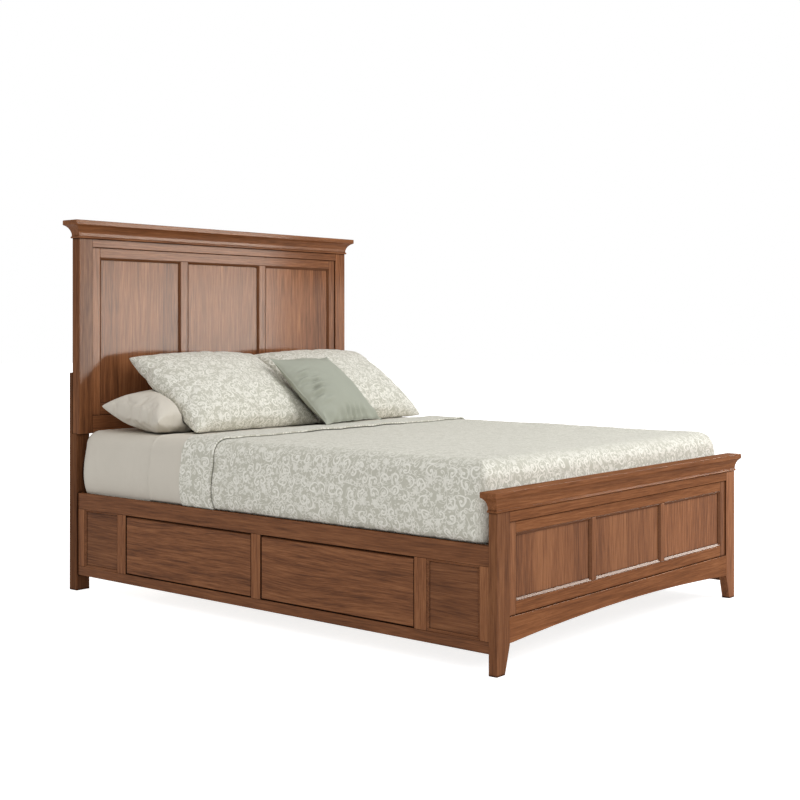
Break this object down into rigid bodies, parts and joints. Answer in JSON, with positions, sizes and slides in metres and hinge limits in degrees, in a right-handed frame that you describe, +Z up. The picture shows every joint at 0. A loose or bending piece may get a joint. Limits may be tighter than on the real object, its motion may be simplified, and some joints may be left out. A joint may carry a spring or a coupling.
{
  "type": "platform bed",
  "caption": "Storage platform bed in cherry-stained wood: panelled headboard and footboard, side drawers on slides, slatted deck, mattress, duvet, pillows and cushion.",
  "frame": {"origin": "middle of the bed's outline, on the floor", "axes": "+X across the bed to the right as seen from its foot, +Y from the footboard to the headboard, +Z up"},
  "size_m": [1.68, 2.188, 1.517],
  "materials": {
    "cherry_frame": "cherry stain under satin lacquer",
    "cherry_panels": "cherry stain under satin lacquer",
    "pale_wood": "clear sealed, matt",
    "zinc_steel": "zinc plated",
    "plain_bedding": "plain woven cotton",
    "patterned_bedding": "woven cotton with a pale scroll pattern",
    "accent_fabric": "plain woven, soft sheen"
  },
  "bodies": {
    "bed_frame": {"headboard_crown": "cherry_frame", "headboard_post_left": "cherry_frame", "headboard_post_right": "cherry_frame", "headboard_top_rail": "cherry_frame", "headboard_bottom_rail": "cherry_frame", "headboard_inner_rails": "cherry_frame", "headboard_inner_stiles": "cherry_frame", "headboard_panel_left": "cherry_panels", "headboard_panel_centre": "cherry_panels", "headboard_panel_right": "cherry_panels", "headboard_panel_mouldings": "cherry_frame", "headboard_leg_left": "cherry_frame", "headboard_leg_right": "cherry_frame", "footboard_crown": "cherry_frame", "footboard_post_left": "cherry_frame", "footboard_post_right": "cherry_frame", "footboard_top_rail": "cherry_frame", "footboard_apron": "cherry_frame", "footboard_inner_rails": "cherry_frame", "footboard_inner_stiles": "cherry_frame", "footboard_panel_left": "cherry_panels", "footboard_panel_centre": "cherry_panels", "footboard_panel_right": "cherry_panels", "footboard_panel_mouldings": "cherry_frame", "side_top_rail_left": "cherry_frame", "side_top_rail_right": "cherry_frame", "side_bottom_rail_left": "cherry_frame", "side_bottom_rail_right": "cherry_frame", "side_stiles_left": "cherry_frame", "side_stiles_right": "cherry_frame", "side_end_panels": "cherry_panels", "side_panel_mouldings": "cherry_frame", "case_slides": "zinc_steel", "drawer_case_left": "pale_wood", "drawer_case_right": "pale_wood", "slat_cleats": "pale_wood", "slats": "pale_wood", "centre_beam": "pale_wood", "support_feet": "pale_wood", "rail_brackets": "zinc_steel", "bolts": "zinc_steel", "mattress": "plain_bedding", "top_sheet": "plain_bedding", "duvet": "patterned_bedding", "pillows": "plain_bedding", "sham_left": "patterned_bedding", "sham_right": "patterned_bedding", "accent_cushion": "accent_fabric"},
    "drawer_left_head": {"drawer_front_left_head": "cherry_frame", "drawer_box_left_head": "pale_wood", "drawer_slides_left_head": "zinc_steel"},
    "drawer_left_foot": {"drawer_front_left_foot": "cherry_frame", "drawer_box_left_foot": "pale_wood", "drawer_slides_left_foot": "zinc_steel"},
    "drawer_right_head": {"drawer_front_right_head": "cherry_frame", "drawer_box_right_head": "pale_wood", "drawer_slides_right_head": "zinc_steel"},
    "drawer_right_foot": {"drawer_front_right_foot": "cherry_frame", "drawer_box_right_foot": "pale_wood", "drawer_slides_right_foot": "zinc_steel"}
  },
  "joints": [
    {"name": "drawer_left_head_slide", "type": "slide", "parent": "bed_frame", "child": "drawer_left_head", "axis": [-1, 0, 0], "range_m": [0, 0.4]},
    {"name": "drawer_left_foot_slide", "type": "slide", "parent": "bed_frame", "child": "drawer_left_foot", "axis": [-1, 0, 0], "range_m": [0, 0.4]},
    {"name": "drawer_right_head_slide", "type": "slide", "parent": "bed_frame", "child": "drawer_right_head", "axis": [1, 0, 0], "range_m": [0, 0.4]},
    {"name": "drawer_right_foot_slide", "type": "slide", "parent": "bed_frame", "child": "drawer_right_foot", "axis": [1, 0, 0], "range_m": [0, 0.4]}
  ]
}
